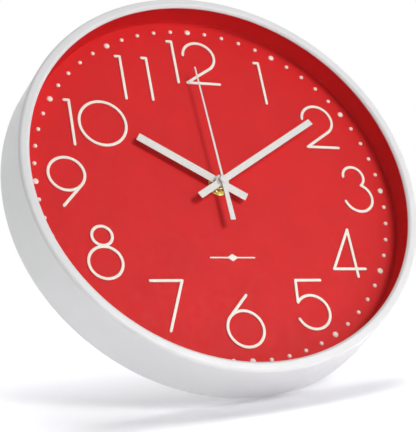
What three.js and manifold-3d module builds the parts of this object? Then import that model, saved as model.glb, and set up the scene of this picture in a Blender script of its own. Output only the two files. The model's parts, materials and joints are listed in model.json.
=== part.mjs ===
// A 30 cm round wall clock: white moulded case, red dial with raised numerals, three hands,
// and an AA quartz movement whose gear train, motor and setting knob are separate moving pieces.
//
// Units are millimetres, +Z is up (12 o'clock) and the dial faces -Y. The wall is the plane y = 0.
// Everything is drawn round the hand arbor, the line x = z = 0, and the whole clock is then hung
// so that the origin is the point of the wall where the hanging screw bears on the hanger.

import * as THREE from "three";
import { mergeVertices } from "three/addons/utils/BufferGeometryUtils.js";
import Module from "manifold-3d";

const wasm = await Module();
wasm.setup();

// ---------------------------------------------------------------- driving dimensions

const CASE = { rearRadius: 150, frontRadius: 147, depth: 40, rim: 4, wall: 2, lipRadius: 139.5 };
const LENS = { radius: 142.6, front: -37.3, rear: -35.7 };
const DIAL = { front: -19.2, rear: -17.2, radius: 146, wallRadius: 140.5, wallThickness: 1.6 };
const NUMERAL = { width: 2.1, height: 1, gap: 0.02 };
const SCREWS = { count: 6, circle: 144.3, shank: 0.95, head: 2, tip: -26 };

// Movement box: x and z run to +-half, y from front to rimRear, and the cover closes it.
const BOX = { half: 28, corner: 3, wall: 1, front: -16, floor: -15, rimRear: -4.6 };
const COVER = { front: -4.5, rear: -3, bottom: -11.6 };
const BAY = { top: -12.1, bottom: -27, divider: 1 };
const BRIDGE = { front: -5.9, rear: -5 };
const MID_PLATE = { front: -10.8, rear: -10.25 };

const HANG = { z: 41, tabTop: 45, halfWidth: 11, front: -16.65, tabRear: -2.6, steel: 0.6 };

// Arbor tubes, one inside the other.
const TUBE = {
  bushOuter: 3.95, bushBore: 2.65, hourOuter: 2.5, hourBore: 1.75, minuteOuter: 1.6, minuteBore: 0.75,
};
const ARBOR = { second: 0.5, wheel: 0.45, hole: 0.62, stud: 0.5, studBore: 0.62, stem: 1, stemHole: 1.3 };

// Hands: the middle plane of each blade, how far it reaches each way, and where it points at rest,
// in degrees clockwise from 12.
const BLADE = 0.5;
const HOUR = { y: -24.4, tip: 66, tail: 21, width: 6.1, hub: 4.6, points: 302.2 };
const MINUTE = { y: -27.4, tip: 97, tail: 22.5, width: 5, hub: 5.3, points: 57.1 };
const SECOND = {
  y: -29.4, tip: 93.7, tail: 31.7, tipWidth: 1.1, rootWidth: 1.6, tailWidth: 3.8, hub: 2.9, points: -2.75,
};

// Tooth counts. Seconds to minutes is 45/6 x 48/6 = 60, minutes to hours 24/8 x 32/8 = 12,
// and the motor turns 30/6 x 36/6 = 30 times for each turn of the second hand.
const TEETH = {
  rotor: 6, intermediate: 30, intermediatePinion: 6, second: 36, secondPinion: 6,
  third: 45, thirdPinion: 6, centre: 48, cannon: 8, motion: 24, motionPinion: 8, hour: 32, knob: 8,
};
const TRAIN_MODULE = 0.3;
const MOTION_MODULE = 0.4;
const thirdDistance = (TRAIN_MODULE * (TEETH.secondPinion + TEETH.third)) / 2;
const motionDistance = (MOTION_MODULE * (TEETH.cannon + TEETH.motion)) / 2;
const CENTRE_MODULE = (2 * thirdDistance) / (TEETH.thirdPinion + TEETH.centre);
const HOUR_MODULE = (2 * motionDistance) / (TEETH.motionPinion + TEETH.hour);

// Axes of the train, as front-view points (x, z), each placed by its direction from the last.
const degrees = THREE.MathUtils.degToRad;
const step = (from, distance, direction) => ({
  x: from.x + distance * Math.cos(direction),
  z: from.z + distance * Math.sin(direction),
});
const DIRECTION = {
  third: degrees(180),
  intermediate: degrees(60),
  rotor: degrees(60),
  motion: degrees(-20),
  knob: degrees(-10),
};
const intermediateDistance = (TRAIN_MODULE * (TEETH.intermediatePinion + TEETH.second)) / 2;
const rotorDistance = (TRAIN_MODULE * (TEETH.rotor + TEETH.intermediate)) / 2;
const knobDistance = (MOTION_MODULE * (TEETH.motion + TEETH.knob)) / 2;
const centreAxis = { x: 0, z: 0 };
const thirdAxis = step(centreAxis, thirdDistance, DIRECTION.third);
const intermediateAxis = step(centreAxis, intermediateDistance, DIRECTION.intermediate);
const rotorAxis = step(intermediateAxis, rotorDistance, DIRECTION.rotor);
const motionAxis = step(centreAxis, motionDistance, DIRECTION.motion);
const knobAxis = step(motionAxis, knobDistance, DIRECTION.knob);

// Steps round a turn: large rings, numeral bowls, and small turned pieces.
const RING_STEPS = 48;
const BOWL_STEPS = 20;
const SMALL_STEPS = 16;
const PIVOT_STEPS = 10;
const WELD = 1e-3;

// ---------------------------------------------------------------- materials

const material = (color, roughness, metalness = 0) =>
  new THREE.MeshStandardMaterial({ color, roughness, metalness });
const whitePlastic = material(0xe9e9ea, 0.45);
const redPlastic = material(0xd0242a, 0.5);
const creamPaint = material(0xefecdf, 0.5);
const handPaint = material(0xe6e6e1, 0.4);
const clearGlass = material(0xffffff, 0.05);
clearGlass.transparent = true;
clearGlass.opacity = 0.15;
const brass = material(0xc9a94a, 0.3, 1);
const steel = material(0xb9bcbe, 0.35, 1);
const darkPlastic = material(0x17181a, 0.5);
const palePlastic = material(0xe4e2da, 0.5);
const blackRubber = material(0x1a1a1a, 0.9);
const greenBoard = material(0x1c6b3c, 0.5);
const blackEpoxy = material(0x101010, 0.3);
const copper = material(0xb8642f, 0.35, 1);
const siliconIron = material(0x7d8084, 0.4, 1);
const batteryWrap = material(0x2f5c8f, 0.4);

// ---------------------------------------------------------------- solids

/** A closed three.js geometry as a manifold-3d solid. */
function solid(geometry) {
  const bare = geometry.clone();
  bare.deleteAttribute("normal");
  bare.deleteAttribute("uv");
  const merged = mergeVertices(bare, WELD);
  return new wasm.Manifold(new wasm.Mesh({
    numProp: 3,
    vertProperties: merged.getAttribute("position").array,
    triVerts: new Uint32Array(merged.index.array),
  }));
}

/** A manifold-3d solid as a three.js geometry. */
function geometryOf(body) {
  const mesh = body.getMesh();
  const geometry = new THREE.BufferGeometry();
  const positions = new Float32Array(mesh.vertProperties);
  geometry.setAttribute("position", new THREE.BufferAttribute(positions, 3));
  geometry.setIndex(new THREE.BufferAttribute(new Uint32Array(mesh.triVerts), 1));
  geometry.computeVertexNormals();
  return geometry;
}

const joined = (...geometries) => geometries.map(solid).reduce((whole, piece) => whole.add(piece));
const cut = (body, ...geometries) =>
  geometries.map(solid).reduce((whole, piece) => whole.subtract(piece), body);

/** A front-view outline (x right, y of the shape up) pushed from rear to front along -Y. */
function pushed(shape, rear, front, curveSteps = SMALL_STEPS) {
  const geometry = new THREE.ExtrudeGeometry(shape, {
    depth: rear - front,
    bevelEnabled: false,
    curveSegments: curveSteps,
  });
  return geometry.rotateX(Math.PI / 2).translate(0, rear, 0);
}

/** A solid of revolution about the arbor from [radius, y] pairs, anticlockwise with y up. */
function turned(profile, steps = RING_STEPS) {
  return new THREE.LatheGeometry(profile.map(([radius, y]) => new THREE.Vector2(radius, y)), steps);
}

/** A closed ring of rectangular section about the arbor. */
function ring(inner, outer, front, rear, steps = RING_STEPS) {
  return turned([[inner, front], [outer, front], [outer, rear], [inner, rear], [inner, front]], steps);
}

/** A solid cylinder along the arbor, at a front-view point. */
function rod(radius, front, rear, at = centreAxis, steps = PIVOT_STEPS) {
  return turned([[0, front], [radius, front], [radius, rear], [0, rear]], steps).translate(at.x, 0, at.z);
}

/** A tube along the arbor, at a front-view point. */
const tube = (inner, outer, front, rear, at = centreAxis, steps = PIVOT_STEPS) =>
  ring(inner, outer, front, rear, steps).translate(at.x, 0, at.z);

/** A box from its lowest to its highest corner. */
function block([x0, y0, z0], [x1, y1, z1]) {
  const box = new THREE.BoxGeometry(x1 - x0, y1 - y0, z1 - z0);
  return box.translate((x0 + x1) / 2, (y0 + y1) / 2, (z0 + z1) / 2);
}

/** A closed outline through front-view points. */
const outline = (points) => new THREE.Shape(points.map(([x, z]) => new THREE.Vector2(x, z)));

/** Points round a circle, anticlockwise from 3 o'clock. */
function circlePoints(radius, steps, at = centreAxis) {
  return Array.from({ length: steps }, (_, i) => {
    const angle = (2 * Math.PI * i) / steps;
    return [at.x + radius * Math.cos(angle), at.z + radius * Math.sin(angle)];
  });
}

/** The outline with holes through front-view points cut in it. */
function withHoles(shape, ...holes) {
  for (const points of holes) {
    shape.holes.push(new THREE.Path(points.map(([x, z]) => new THREE.Vector2(x, z))));
  }
  return shape;
}

/** A rectangle with rounded corners, from (x0, z0) to (x1, z1). */
function roundedRectangle(x0, z0, x1, z1, radius) {
  const shape = new THREE.Shape();
  shape.moveTo(x0 + radius, z0);
  shape.lineTo(x1 - radius, z0);
  shape.absarc(x1 - radius, z0 + radius, radius, -Math.PI / 2, 0);
  shape.lineTo(x1, z1 - radius);
  shape.absarc(x1 - radius, z1 - radius, radius, 0, Math.PI / 2);
  shape.lineTo(x0 + radius, z1);
  shape.absarc(x0 + radius, z1 - radius, radius, Math.PI / 2, Math.PI);
  shape.lineTo(x0, z0 + radius);
  shape.absarc(x0 + radius, z0 + radius, radius, Math.PI, 1.5 * Math.PI);
  return shape;
}

// ---------------------------------------------------------------- the assembly

const clock = new THREE.Group();
clock.position.z = -HANG.z;

/** Adds one named piece, made of a geometry or a solid, to the clock. */
function add(name, made, finish, turn = 0) {
  const mesh = new THREE.Mesh(made.isBufferGeometry ? made : geometryOf(made), finish);
  mesh.name = name;
  mesh.rotation.y = turn;
  clock.add(mesh);
  return mesh;
}

// ---------------------------------------------------------------- case, lens and dial

const screwAngles = Array.from({ length: SCREWS.count }, (_, i) => degrees(30 + (360 * i) / SCREWS.count));
const screwPoint = (angle) => step(centreAxis, SCREWS.circle, angle);

/** Inner face of the case wall at depth y, a constant thickness inside the tapered outer face. */
const innerWall = (y) =>
  CASE.rearRadius - CASE.wall + (y * (CASE.rearRadius - CASE.frontRadius)) / (CASE.depth - CASE.rim);

/** The case: a tapering wall, a rounded rim with a lens seat behind it, and screw bosses. */
function caseRing() {
  const front = -CASE.depth;
  const lensSeat = LENS.front - 0.1;
  const pocket = LENS.radius + 0.5;
  const blockRear = LENS.rear + 1.1;
  const shell = solid(turned([
    [CASE.lipRadius, front + 1.8],
    [CASE.lipRadius + 1.1, front + 0.6],
    [CASE.lipRadius + 3.1, front],
    [CASE.frontRadius - 2.6, front + 0.1],
    [CASE.frontRadius - 1, front + 1],
    [CASE.frontRadius - 0.2, front + 2.4],
    [CASE.frontRadius, front + CASE.rim],
    [CASE.rearRadius, 0],
    [CASE.rearRadius - CASE.wall, 0],
    [innerWall(blockRear + 1.6), blockRear + 1.6],
    [pocket, blockRear],
    [pocket, lensSeat],
    [CASE.lipRadius, lensSeat],
    [CASE.lipRadius, front + 1.8],
  ]));
  const bossRear = DIAL.front - 0.2;
  const bosses = screwAngles.map((angle) => {
    const rib = block([SCREWS.circle, blockRear, -1], [SCREWS.circle + 2.5, bossRear, 1]).rotateY(-angle);
    return joined(rod(2.1, blockRear, bossRear, screwPoint(angle), SMALL_STEPS), rib);
  });
  const pilots = screwAngles.map((angle) => rod(1.15, SCREWS.tip - 1, bossRear + 1, screwPoint(angle)));
  return cut(bosses.reduce((whole, boss) => whole.add(boss), shell), ...pilots);
}

/** The flat red dial, with a hole for the bush and one for each screw. */
function dialPlate() {
  const clearance = screwAngles.map((angle) => circlePoints(1.25, PIVOT_STEPS, screwPoint(angle)));
  const shape = outline(circlePoints(DIAL.radius, RING_STEPS));
  return pushed(withHoles(shape, circlePoints(4.3, SMALL_STEPS), ...clearance), DIAL.rear, DIAL.front);
}

/** A pan-headed screw through the dial into its boss in the case. */
function dialScrew(angle) {
  const { x, z } = screwPoint(angle);
  const headFront = DIAL.rear + 0.05;
  const profile = [
    [0, SCREWS.tip],
    [SCREWS.shank, SCREWS.tip + 1.2],
    [SCREWS.shank, headFront],
    [SCREWS.head, headFront],
    [SCREWS.head, headFront + 0.8],
    [SCREWS.head * 0.6, headFront + 1.4],
    [0, headFront + 1.6],
  ];
  return turned(profile, PIVOT_STEPS).translate(x, 0, z);
}

const spacerRing = ring(
  DIAL.wallRadius, DIAL.wallRadius + DIAL.wallThickness, LENS.rear + 0.1, DIAL.front - 0.05,
);

add("case_ring", caseRing(), whitePlastic);
add("front_lens", rod(LENS.radius, LENS.front, LENS.rear, centreAxis, RING_STEPS), clearGlass);
add("spacer_ring", spacerRing, redPlastic);
add("dial_plate", dialPlate(), redPlastic);
screwAngles.forEach((angle, i) => add(`dial_screw_${i + 1}`, dialScrew(angle), steel));

// ---------------------------------------------------------------- numerals

const numeralRear = DIAL.front - NUMERAL.gap;
const numeralFront = numeralRear - NUMERAL.height;
const raised = (shape) => solid(pushed(shape, numeralRear, numeralFront));

/** Points along a clockwise arc, from one angle down to another, in degrees. */
function arcPoints(x, z, radius, from, to) {
  const count = Math.max(4, Math.round((BOWL_STEPS * (from - to)) / 360));
  return Array.from({ length: count + 1 }, (_, i) => {
    const angle = degrees(from + ((to - from) * i) / count);
    return [x + radius * Math.cos(angle), z + radius * Math.sin(angle)];
  });
}

/** A raised stroke with round ends along a smooth line of points. */
function stroke(points, width = NUMERAL.width) {
  const half = width / 2;
  const line = points.map(([x, z]) => new THREE.Vector2(x, z));
  const heading = line.map((_, i) => {
    const ahead = line[Math.min(i + 1, line.length - 1)];
    const behind = line[Math.max(i - 1, 0)];
    return Math.atan2(ahead.y - behind.y, ahead.x - behind.x);
  });
  const beside = (i, turn) => [
    line[i].x + half * Math.cos(heading[i] + turn),
    line[i].y + half * Math.sin(heading[i] + turn),
  ];
  const quarter = Math.PI / 2;
  const last = line.length - 1;
  const cap = [1, 0, -1].map((k) => (k * quarter) / 2);
  const edge = [
    ...line.map((_, i) => beside(i, quarter)),
    ...cap.map((turn) => beside(last, turn)),
    ...line.map((_, i) => beside(last - i, -quarter)),
    ...cap.map((turn) => beside(0, turn + Math.PI)),
  ];
  return raised(outline(edge.reverse()));
}

/** A raised closed bowl: an ellipse of the stroke's width. */
function bowl(x, z, radiusX, radiusZ = radiusX) {
  const half = NUMERAL.width / 2;
  const oval = (grow) =>
    circlePoints(1, BOWL_STEPS).map(([c, s]) => [x + (radiusX + grow) * c, z + (radiusZ + grow) * s]);
  return raised(withHoles(outline(oval(half)), oval(-half)));
}

/** Where a straight stroke from a point meets a bowl's line as a tangent, on its +1 or -1 side. */
function tangentPoint([px, pz], x, z, radius, side) {
  const angle = Math.atan2(pz - z, px - x) + side * Math.acos(radius / Math.hypot(px - x, pz - z));
  return [x + radius * Math.cos(angle), z + radius * Math.sin(angle)];
}

const together = (...strokes) => strokes.reduce((whole, piece) => whole.add(piece));

function one(x, top) {
  const foot = top - 35.7;
  return together(stroke([[x - 3.4, top], [x, top]]), stroke([[x, top], [x, foot]]));
}

function two(x, top) {
  const radius = 12.3;
  const centre = top - radius;
  const corner = [x - 12.7, top - 35.6];
  const joint = tangentPoint(corner, x, centre, radius, 1);
  const jointAngle = THREE.MathUtils.radToDeg(Math.atan2(joint[1] - centre, joint[0] - x));
  return together(
    stroke(arcPoints(x, centre, radius, 175, jointAngle)),
    stroke([joint, corner]),
    stroke([corner, [x + 12.8, corner[1]]]),
  );
}

// Each digit in dial millimetres: x to the right of the arbor, z above it.
const DIGITS = {
  numeral_1: () => one(53, 107.6),
  numeral_2: () => two(91.8, 71.2),
  numeral_3: () => together(
    stroke(arcPoints(110.8, 10.7, 8.4, 177, -54.3)),
    stroke(arcPoints(110.8, -6.5, 11.5, 64.8, -164)),
  ),
  numeral_4: () => together(
    stroke([[94.6, -33.3], [94.6, -70.4]]),
    stroke([[94.6, -33.3], [76.6, -64.5]]),
    stroke([[76.6, -64.5], [101.8, -64.5]]),
  ),
  numeral_5: () => together(
    stroke([[43.9, -73.2], [63.1, -73.2]]),
    stroke([[43.9, -73.2], [42.2, -89.8]]),
    stroke(arcPoints(52.4, -97.3, 12.6, 143.5, -157)),
  ),
  numeral_6: () => together(
    bowl(-0.6, -108.6, 13.1),
    stroke([[4.2, -84.2], tangentPoint([4.2, -84.2], -0.6, -108.6, 13.1, 1)]),
  ),
  numeral_7: () => together(
    stroke([[-62.8, -73.1], [-40.2, -73.1]]),
    stroke([[-40.2, -73.1], [-54.2, -109]]),
  ),
  numeral_8: () => together(bowl(-91.3, -40.3, 7.1), bowl(-91.4, -59.9, 11.7)),
  numeral_9: () => together(
    bowl(-109.7, 6.2, 12.7),
    stroke([[-114.4, -18.2], tangentPoint([-114.4, -18.2], -109.7, 6.2, 12.7, 1)]),
  ),
  numeral_10_one: () => one(-100.7, 65.2),
  numeral_10_zero: () => bowl(-78.3, 47.5, 17, 17.7),
  numeral_11_first: () => one(-57.6, 105.1),
  numeral_11_second: () => one(-37.4, 105.1),
  numeral_12_one: () => one(-15, 121.7),
  numeral_12_two: () => two(4.8, 121.7),
};
for (const [name, draw] of Object.entries(DIGITS)) add(name, draw(), creamPaint);

/** A plain raised ornament below the arbor: a thin bar through a lozenge. */
function dialOrnament() {
  const z = -56;
  return together(
    stroke([[-16.5, z], [16.5, z]], 1),
    raised(outline([[4.2, z], [0, z + 2.8], [-4.2, z], [0, z - 2.8]])),
  );
}
add("dial_ornament", dialOrnament(), creamPaint);

// ---------------------------------------------------------------- hands

/** A hand drawn at 12: its plan outlines, a hub disc and a socket behind it, and its turn from there. */
function hand({ y, hub, points }, plans, bore, socket) {
  const [rear, front] = [y + BLADE / 2, y - BLADE / 2];
  const blades = plans.map((plan) => pushed(outline(plan), rear, front));
  const hubDisc = rod(hub, front, rear, centreAxis, BOWL_STEPS);
  const socketRear = rear + socket.length;
  const whole = joined(...blades, hubDisc, rod(socket.radius, rear, socketRear, centreAxis, SMALL_STEPS));
  const hole = rod(bore, front - 1, socketRear + 1, centreAxis, SMALL_STEPS);
  return { body: cut(whole, hole), turn: degrees(points) };
}

const baton = ({ tip, tail, width }) => [
  [-width / 2, -tail], [width / 2, -tail], [width / 2, tip], [-width / 2, tip],
];

const hourHand = hand(HOUR, [baton(HOUR)], TUBE.hourOuter + 0.07, { radius: 3.7, length: 0.9 });
add("hour_hand", hourHand.body, handPaint, hourHand.turn);

const minuteHand = hand(MINUTE, [baton(MINUTE)], TUBE.minuteOuter + 0.06, { radius: 2.6, length: 1 });
add("minute_hand", minuteHand.body, handPaint, minuteHand.turn);

const needle = [
  [-SECOND.rootWidth / 2, 0], [SECOND.rootWidth / 2, 0],
  [SECOND.tipWidth / 2, SECOND.tip], [-SECOND.tipWidth / 2, SECOND.tip],
];
const counterweight = [
  [-SECOND.tailWidth / 2, -SECOND.tail], [SECOND.tailWidth / 2, -SECOND.tail],
  [SECOND.tailWidth * 0.4, 0], [-SECOND.tailWidth * 0.4, 0],
];
const secondHand = hand(SECOND, [needle, counterweight], ARBOR.second + 0.06, { radius: 1.2, length: 0.9 });
add("second_hand", secondHand.body, handPaint, secondHand.turn);

// ---------------------------------------------------------------- gears

/** A gear with straight-flanked teeth and wide backlash, one tooth centred on the phase angle. */
function gear(teeth, module, phase, at, front, rear) {
  const pitch = (2 * Math.PI) / teeth;
  const pitchRadius = (module * teeth) / 2;
  const root = { radius: pitchRadius - 1.2 * module, half: 0.25 * pitch };
  const tip = { radius: pitchRadius + 0.9 * module, half: 0.1 * pitch };
  const tooth = [
    [root.radius, -root.half], [tip.radius, -tip.half], [tip.radius, tip.half], [root.radius, root.half],
  ];
  const points = [];
  for (let i = 0; i < teeth; i++) {
    const middle = phase + i * pitch;
    for (const [radius, offset] of tooth) {
      const angle = middle + offset;
      points.push([at.x + radius * Math.cos(angle), at.z + radius * Math.sin(angle)]);
    }
  }
  return pushed(outline(points), rear, front);
}

/** The phase that puts the driven gear's tooth gap on the driver's tooth, along the line of centres. */
function matchPhase(driverTeeth, driverPhase, drivenTeeth, direction) {
  const teethPast = ((driverPhase - direction) * driverTeeth) / (2 * Math.PI);
  return direction + Math.PI + ((2 * Math.PI) / drivenTeeth) * (0.5 - teethPast);
}

const { third: toThird, intermediate: toIntermediate, rotor: toRotor } = DIRECTION;
const { motion: toMotion, knob: toKnob } = DIRECTION;
const thirdPhase = matchPhase(TEETH.secondPinion, toThird, TEETH.third, toThird);
const centrePhase = matchPhase(TEETH.thirdPinion, toThird, TEETH.centre, toThird + Math.PI);
const motionPhase = matchPhase(TEETH.cannon, toMotion, TEETH.motion, toMotion);
const hourPhase = matchPhase(TEETH.motionPinion, toMotion, TEETH.hour, toMotion + Math.PI);
const intermediatePhase = matchPhase(TEETH.second, toIntermediate, TEETH.intermediatePinion, toIntermediate);
const rotorPhase = matchPhase(TEETH.intermediate, toRotor, TEETH.rotor, toRotor);
const knobPhase = matchPhase(TEETH.motion, motionPhase, TEETH.knob, toKnob);

// Second wheel: wheel, pinion, and the arbor that carries the second hand.
add("second_wheel", joined(
  gear(TEETH.second, TRAIN_MODULE, toIntermediate, centreAxis, -8.5, -7.8),
  gear(TEETH.secondPinion, TRAIN_MODULE, toThird, centreAxis, -10.4, -9.1),
  rod(ARBOR.second, SECOND.y - 0.9, BRIDGE.rear - 0.1),
), palePlastic);

add("third_wheel", joined(
  gear(TEETH.third, TRAIN_MODULE, thirdPhase, thirdAxis, -10.1, -9.4),
  gear(TEETH.thirdPinion, CENTRE_MODULE, toThird, thirdAxis, -12, -10.6),
  rod(ARBOR.wheel, BOX.floor + 0.4, BRIDGE.rear - 0.1, thirdAxis),
), palePlastic);

// Centre wheel: driven by the third pinion, with the cannon pinion and the tube of the minute hand.
add("centre_wheel", cut(joined(
  gear(TEETH.centre, CENTRE_MODULE, centrePhase, centreAxis, -11.6, -10.9),
  gear(TEETH.cannon, MOTION_MODULE, toMotion, centreAxis, -13.4, -12.3),
  rod(TUBE.minuteOuter - 0.5, -13, -11, centreAxis, SMALL_STEPS),
  rod(TUBE.minuteOuter, MINUTE.y - 0.6, -13.3, centreAxis, SMALL_STEPS),
), rod(TUBE.minuteBore, MINUTE.y - 2, -10, centreAxis, SMALL_STEPS)), palePlastic);

add("motion_wheel", cut(joined(
  gear(TEETH.motion, MOTION_MODULE, motionPhase, motionAxis, -13.2, -12.5),
  gear(TEETH.motionPinion, HOUR_MODULE, toMotion, motionAxis, -14.55, -13),
), rod(ARBOR.studBore, -15, -12, motionAxis)), palePlastic);

add("hour_wheel", cut(joined(
  gear(TEETH.hour, HOUR_MODULE, hourPhase, centreAxis, -14.5, -13.8),
  rod(TUBE.hourOuter, HOUR.y - 0.7, -14, centreAxis, BOWL_STEPS),
), rod(TUBE.hourBore, HOUR.y - 2, -13, centreAxis, SMALL_STEPS)), palePlastic);

add("intermediate_wheel", joined(
  gear(TEETH.intermediate, TRAIN_MODULE, toRotor, intermediateAxis, -7.1, -6.4),
  gear(TEETH.intermediatePinion, TRAIN_MODULE, intermediatePhase, intermediateAxis, -8.75, -7),
  rod(ARBOR.wheel, MID_PLATE.front + 0.1, BRIDGE.rear - 0.1, intermediateAxis),
), palePlastic);

const ROTOR = { magnet: 2.4, front: -10, rear: -7.9 };
add("rotor_pinion", joined(
  gear(TEETH.rotor, TRAIN_MODULE, rotorPhase, rotorAxis, -7.5, -6),
  rod(ARBOR.wheel, MID_PLATE.front + 0.1, BRIDGE.rear - 0.1, rotorAxis),
), palePlastic);
const rotorMagnet = tube(ARBOR.wheel + 0.05, ROTOR.magnet, ROTOR.front, ROTOR.rear, rotorAxis, SMALL_STEPS);
add("rotor_magnet", rotorMagnet, siliconIron);

const KNOB = { radius: 6, front: -2.8, rear: -0.7, ribs: 18 };
/** The setting knob: a fluted thumb wheel outside the cover, with a stem and pinion inside. */
function settingKnob() {
  const flutes = circlePoints(1, 2 * KNOB.ribs).map(([c, s], i) => {
    const radius = KNOB.radius - (i % 2 ? 0.6 : 0);
    return [knobAxis.x + radius * c, knobAxis.z + radius * s];
  });
  return joined(
    pushed(outline(flutes), KNOB.rear, KNOB.front),
    rod(ARBOR.stem, BOX.floor + 0.4, KNOB.front + 0.5, knobAxis, SMALL_STEPS),
    gear(TEETH.knob, MOTION_MODULE, knobPhase, knobAxis, -13.4, -12.3),
  );
}
add("setting_knob", settingKnob(), palePlastic);

// ---------------------------------------------------------------- movement box

const PILLARS = [
  { at: { x: 0, z: -9.3 }, rear: BRIDGE.front - 0.05 },
  { at: { x: 10, z: 16.1 }, rear: BRIDGE.front - 0.05 },
  { at: { x: 2.5, z: 15.6 }, rear: MID_PLATE.front - 0.05 },
  { at: { x: 14.5, z: 6.5 }, rear: MID_PLATE.front - 0.05 },
];

/** The open box: a front plate, walls round the train and the battery bay, pillars and bearings. */
function movementShell() {
  const { half, corner, wall, front, floor, rimRear } = BOX;
  const inner = half - wall;
  const roomBottom = BAY.top + BAY.divider;
  const trainRoom = [[-inner, roomBottom], [inner, roomBottom], [inner, inner], [-inner, inner]];
  const bay = [[-inner, BAY.bottom], [inner, BAY.bottom], [inner, BAY.top], [-inner, BAY.top]];
  const bounds = () => roundedRectangle(-half, -half, half, half, corner);
  return joined(
    pushed(withHoles(bounds(), circlePoints(4.1, SMALL_STEPS)), floor, front, 4),
    pushed(withHoles(bounds(), trainRoom, bay), rimRear, floor, 4),
    ...PILLARS.map(({ at, rear }) => rod(1.2, floor - 0.2, rear, at)),
    tube(ARBOR.hole, 1.2, floor - 0.2, floor + 0.9, thirdAxis),
    tube(ARBOR.stemHole - 0.15, 1.8, floor - 0.2, floor + 0.9, knobAxis),
    rod(ARBOR.stud, floor - 0.2, -12.3, motionAxis),
  );
}

/** The flat cover over the train, with a hole for the knob's stem. */
function movementCover() {
  const shape = roundedRectangle(-BOX.half, COVER.bottom, BOX.half, BOX.half, BOX.corner);
  const stemHole = circlePoints(ARBOR.stemHole, PIVOT_STEPS, knobAxis);
  return pushed(withHoles(shape, stemHole), COVER.rear, COVER.front, 4);
}

/** Rear bearing plate over the train. */
function trainBridge() {
  const shape = outline([
    [-9.6, -1.8], [-1.5, -10.6], [2, -10.6], [14.5, -5.5],
    [14.5, -1], [11.6, 17.4], [8.2, 17.4], [-9.6, 1.8],
  ]);
  const pivots = [centreAxis, thirdAxis, intermediateAxis, rotorAxis];
  const bearings = pivots.map((at) => circlePoints(ARBOR.hole, PIVOT_STEPS, at));
  const stemHole = circlePoints(ARBOR.stemHole, PIVOT_STEPS, knobAxis);
  return pushed(withHoles(shape, ...bearings, stemHole), BRIDGE.rear, BRIDGE.front);
}

/** Front bearing plate of the rotor and the intermediate wheel. */
function midPlate() {
  const shape = outline([[1.7, 4.3], [4.5, 3.9], [15.8, 5], [15.8, 8], [5.5, 17], [1.2, 17]]);
  const bearings = [intermediateAxis, rotorAxis].map((at) => circlePoints(ARBOR.hole, PIVOT_STEPS, at));
  return pushed(withHoles(shape, ...bearings), MID_PLATE.rear, MID_PLATE.front);
}

add("movement_shell", movementShell(), darkPlastic);
add("movement_cover", movementCover(), darkPlastic);
add("train_bridge", trainBridge(), palePlastic);
add("middle_plate", midPlate(), palePlastic);

// ---------------------------------------------------------------- fixing of the movement to the dial

const BUSH = { tip: -22.8, flangeRadius: 5.2, flangeFront: BOX.floor + 0.05, flangeRear: BOX.floor + 0.35 };
add("threaded_bush", turned([
  [TUBE.bushBore, BUSH.tip],
  [TUBE.bushOuter, BUSH.tip],
  [TUBE.bushOuter, BUSH.flangeFront],
  [BUSH.flangeRadius, BUSH.flangeFront],
  [BUSH.flangeRadius, BUSH.flangeRear],
  [TUBE.bushBore, BUSH.flangeRear],
  [TUBE.bushBore, BUSH.tip],
], BOWL_STEPS), brass);

const nutAcrossFlats = 12;
const nutShape = outline(circlePoints(nutAcrossFlats / Math.sqrt(3), 6));
add("fixing_nut", pushed(withHoles(nutShape, circlePoints(4.1, SMALL_STEPS)), -20, -22.35), brass);
add("fixing_washer", tube(4.2, 7.6, -19.95, DIAL.front - 0.05, centreAxis, BOWL_STEPS), brass);
const gasket = tube(4.4, 9, DIAL.rear + 0.05, HANG.front - 0.05, centreAxis, BOWL_STEPS);
add("rubber_gasket", gasket, blackRubber);

/** A bent steel strip held by the bush: up behind the dial, back over the box, up to the slotted tab. */
function wallHanger() {
  const { halfWidth, front, tabRear, tabTop, steel: gauge, z } = HANG;
  const shelf = 30.4;
  const strip = joined(
    block([-halfWidth, front, -9], [halfWidth, front + gauge, shelf]),
    block([-halfWidth, front, shelf - gauge], [halfWidth, tabRear, shelf]),
    block([-halfWidth, tabRear - gauge, shelf - gauge], [halfWidth, tabRear, tabTop]),
  );
  const slot = outline([
    [-4.5, 33], [4.5, 33], [4.5, 36.2], [2.2, z - 0.8], [0, z], [-2.2, z - 0.8], [-4.5, 36.2],
  ]);
  const bushHole = rod(4.3, front - 1, front + gauge + 1, centreAxis, SMALL_STEPS);
  return cut(strip, pushed(slot, tabRear + 1, tabRear - gauge - 1), bushHole);
}
add("wall_hanger", wallHanger(), steel);

// ---------------------------------------------------------------- motor, circuit and battery

const COIL = { y: -8.35, z: 22, x0: -6, x1: 16, flange: 3.7, barrel: 2, flangeWidth: 1, winding: 3.3 };
const CORE = { x0: -11, x1: 21, halfZ: 1.5, front: -8.75, rear: -7.95 };

/** Soft-iron loop with the round seat that the rotor magnet turns in. */
function statorPlate() {
  const shape = outline([
    [-11, 8.4], [-1, 8.4], [1.5, 6.3], [21, 6.3], [21, 24],
    [17, 24], [17, 14], [-7, 14], [-7, 24], [-11, 24],
  ]);
  return pushed(withHoles(shape, circlePoints(ROTOR.magnet + 0.5, SMALL_STEPS, rotorAxis)), -8.8, -9.6);
}

/** A box centred on the coil's line, from x0 to x1. */
const aroundCoil = (x0, x1, halfY, halfZ) =>
  block([x0, COIL.y - halfY, COIL.z - halfZ], [x1, COIL.y + halfY, COIL.z + halfZ]);

const coilCore = block(
  [CORE.x0, CORE.front, COIL.z - CORE.halfZ],
  [CORE.x1, CORE.rear, COIL.z + CORE.halfZ],
);

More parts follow.
